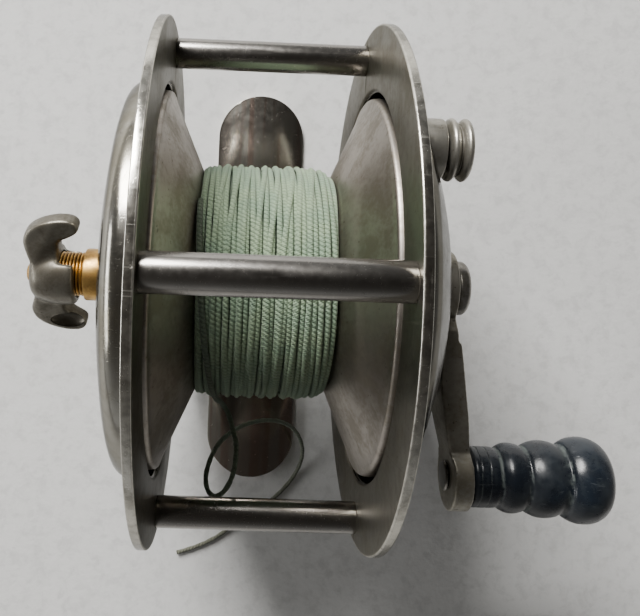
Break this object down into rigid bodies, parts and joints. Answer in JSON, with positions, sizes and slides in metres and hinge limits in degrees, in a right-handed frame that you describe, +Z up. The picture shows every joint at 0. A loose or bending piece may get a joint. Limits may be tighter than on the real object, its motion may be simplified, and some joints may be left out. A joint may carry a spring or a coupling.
{
  "type": "fishing reel",
  "caption": "Direct-drive fishing reel: dished side plates on round pillars, wound line spool, crank with ringed knob, wing-nut drag, click button and curved foot.",
  "frame": {"origin": "the middle of the underside of the foot, 41 mm below the spool axis and midway between the inner faces of the two side plates", "axes": "+X along the spool axis towards the crank side, +Y along the foot towards the click button's side, +Z up, away from the foot"},
  "size_m": [0.087, 0.0923, 0.079],
  "materials": {
    "plate_nickel": "worn nickel plate, hairline scratches, warm tarnish",
    "foot_nickel": "bright polished nickel plate",
    "pillar_steel": "turned, satin, slightly darkened",
    "screw_steel": "worn plated heads, dark slots",
    "flange_nickel": "dull nickel plate, circular marks, bright rolled rim",
    "shaft_steel": "turned steel",
    "brass": "bare brass, browned in the threads",
    "leather": "pressed leather washer",
    "wing_nickel": "cast, worn plate, dark grey-brown",
    "click_nickel": "turned nickel plate with bright rings",
    "crank_nickel": "dull forged plate, soft edges",
    "knob_black": "glossy blue-black, pale wear in the grooves",
    "line_green": "twisted pale sage-green line"
  },
  "bodies": {
    "frame": {"left_side_plate": "plate_nickel", "right_side_plate": "plate_nickel", "reel_foot": "foot_nickel", "foot_saddle": "foot_nickel", "foot_screw_1": "screw_steel", "foot_screw_2": "screw_steel", "pillar_near": "pillar_steel", "pillar_back": "pillar_steel", "pillar_bottom": "pillar_steel", "pillar_front": "pillar_steel", "pillar_screw_near_left": "screw_steel", "pillar_screw_near_right": "screw_steel", "pillar_screw_back_left": "screw_steel", "pillar_screw_back_right": "screw_steel", "pillar_screw_bottom_left": "screw_steel", "pillar_screw_bottom_right": "screw_steel", "pillar_screw_front_left": "screw_steel", "pillar_screw_front_right": "screw_steel", "drag_boss": "brass", "crank_bearing": "brass", "click_post": "click_nickel", "line_tail": "line_green"},
    "spool": {"spool_shaft": "shaft_steel", "spool_arbor": "brass", "left_flange": "flange_nickel", "right_flange": "flange_nickel", "line_pack": "line_green", "ratchet_wheel": "brass", "crank_arm": "crank_nickel", "crank_screw": "screw_steel", "knob_spindle": "shaft_steel"},
    "knob_body": {"knob": "knob_black"},
    "drag_screw": {"drag_pin": "brass", "drag_pad": "leather"},
    "wing_nut_body": {"wing_nut": "wing_nickel"},
    "click_knob": {"click_button": "click_nickel", "pawl_pivot": "brass"},
    "click_pawl_body": {"click_pawl": "shaft_steel"}
  },
  "joints": [
    {"name": "spool_spin", "type": "hinge", "parent": "frame", "child": "spool", "pos_m": [0, 0, 0.041], "axis": [1, 0, 0], "continuous": true},
    {"name": "knob_spin", "type": "hinge", "parent": "spool", "child": "knob_body", "pos_m": [0.041, -0.0278, 0.041], "axis": [1, 0, 0], "continuous": true},
    {"name": "drag_slide", "type": "slide", "parent": "frame", "child": "drag_screw", "axis": [1, 0, 0], "range_m": [-0.0016, 0.0009]},
    {"name": "wing_nut_turn", "type": "hinge", "parent": "drag_screw", "child": "wing_nut_body", "pos_m": [-0.03, 0, 0.041], "axis": [1, 0, 0], "range_deg": [-720, 396]},
    {"name": "click_turn", "type": "hinge", "parent": "frame", "child": "click_knob", "pos_m": [0.0228, 0.0182, 0.0555], "axis": [1, 0, 0], "range_deg": [-26, 0]},
    {"name": "pawl_swing", "type": "hinge", "parent": "click_knob", "child": "click_pawl_body", "pos_m": [0.0165, 0.0182, 0.0555], "axis": [1, 0, 0], "range_deg": [-8, 8], "stiffness_Nm_per_rad": 0.002}
  ],
  "couplings": [
    {"joint": "drag_slide", "follows": "wing_nut_turn", "m_per_rad": 0.00012732}
  ]
}
